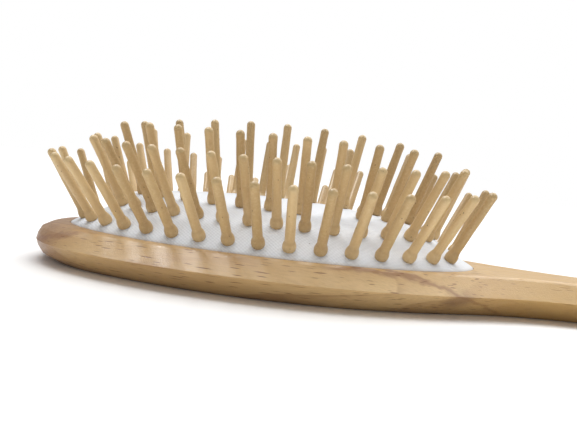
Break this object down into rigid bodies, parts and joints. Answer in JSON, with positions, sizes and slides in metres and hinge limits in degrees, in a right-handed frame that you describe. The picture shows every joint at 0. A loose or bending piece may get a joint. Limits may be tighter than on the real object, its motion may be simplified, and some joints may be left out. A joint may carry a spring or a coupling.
{
  "type": "paddle hair brush",
  "caption": "Oval wooden paddle hair brush with turned wooden pins in a domed, cloth-faced air cushion and a slim straight handle.",
  "frame": {"origin": "on the flat back of the head, straight under the middle of the cushion", "axes": "+X along the handle, +Z out of the cushion on the side of the pins, +Y across the head"},
  "size_m": [0.2267, 0.0809, 0.04],
  "materials": {
    "beech_body": "satin lacquer",
    "pin_wood": "smooth, waxed",
    "white_cloth": "fine matt weave",
    "rubber": "matt"
  },
  "bodies": {
    "body": {"brush_body": "beech_body", "cushion_membrane": "rubber", "cushion_facing": "white_cloth"},
    "centre_row_middle": {"centre_pin_03": "pin_wood", "centre_pin_04": "pin_wood", "centre_pin_05": "pin_wood", "centre_pin_06": "pin_wood", "centre_pin_07": "pin_wood"},
    "centre_row_sides": {"centre_pin_02": "pin_wood", "centre_pin_08": "pin_wood"},
    "centre_row_ends": {"centre_pin_01": "pin_wood", "centre_pin_09": "pin_wood"},
    "third_ring": {"third_pins_01": "pin_wood", "third_pins_02": "pin_wood", "third_pins_03": "pin_wood", "third_pins_04": "pin_wood", "third_pins_05": "pin_wood", "third_pins_06": "pin_wood", "third_pins_07": "pin_wood", "third_pins_08": "pin_wood", "third_pins_09": "pin_wood", "third_pins_10": "pin_wood"},
    "second_ring": {"second_pins_01": "pin_wood", "second_pins_02": "pin_wood", "second_pins_03": "pin_wood", "second_pins_04": "pin_wood", "second_pins_05": "pin_wood", "second_pins_06": "pin_wood", "second_pins_07": "pin_wood", "second_pins_08": "pin_wood", "second_pins_09": "pin_wood", "second_pins_10": "pin_wood", "second_pins_11": "pin_wood", "second_pins_12": "pin_wood", "second_pins_13": "pin_wood", "second_pins_14": "pin_wood", "second_pins_15": "pin_wood", "second_pins_16": "pin_wood"},
    "outer_ring": {"outer_pins_01": "pin_wood", "outer_pins_02": "pin_wood", "outer_pins_03": "pin_wood", "outer_pins_04": "pin_wood", "outer_pins_05": "pin_wood", "outer_pins_06": "pin_wood", "outer_pins_07": "pin_wood", "outer_pins_08": "pin_wood", "outer_pins_09": "pin_wood", "outer_pins_10": "pin_wood", "outer_pins_11": "pin_wood", "outer_pins_12": "pin_wood", "outer_pins_13": "pin_wood", "outer_pins_14": "pin_wood", "outer_pins_15": "pin_wood", "outer_pins_16": "pin_wood", "outer_pins_17": "pin_wood", "outer_pins_18": "pin_wood"}
  },
  "joints": [
    {"name": "cushion_press", "type": "slide", "parent": "body", "child": "centre_row_middle", "axis": [0, 0, -1], "range_m": [0, 0.004], "stiffness_N_per_m": 600, "deforming": ["cushion_membrane", "cushion_facing"]},
    {"name": "centre_row_sides_sink", "type": "slide", "parent": "body", "child": "centre_row_sides", "axis": [0, 0, -1], "range_m": [0, 0.00357], "stiffness_N_per_m": 200},
    {"name": "centre_row_ends_sink", "type": "slide", "parent": "body", "child": "centre_row_ends", "axis": [0, 0, -1], "range_m": [0, 0.00323], "stiffness_N_per_m": 200},
    {"name": "third_ring_sink", "type": "slide", "parent": "body", "child": "third_ring", "axis": [0, 0, -1], "range_m": [0, 0.00318], "stiffness_N_per_m": 200},
    {"name": "second_ring_sink", "type": "slide", "parent": "body", "child": "second_ring", "axis": [0, 0, -1], "range_m": [0, 0.00208], "stiffness_N_per_m": 200},
    {"name": "outer_ring_sink", "type": "slide", "parent": "body", "child": "outer_ring", "axis": [0, 0, -1], "range_m": [0, 0.00069], "stiffness_N_per_m": 200}
  ],
  "couplings": [
    {"joint": "centre_row_sides_sink", "follows": "cushion_press", "ratio": 0.8904},
    {"joint": "centre_row_ends_sink", "follows": "cushion_press", "ratio": 0.8058},
    {"joint": "third_ring_sink", "follows": "cushion_press", "ratio": 0.7932},
    {"joint": "second_ring_sink", "follows": "cushion_press", "ratio": 0.5169},
    {"joint": "outer_ring_sink", "follows": "cushion_press", "ratio": 0.1695}
  ]
}
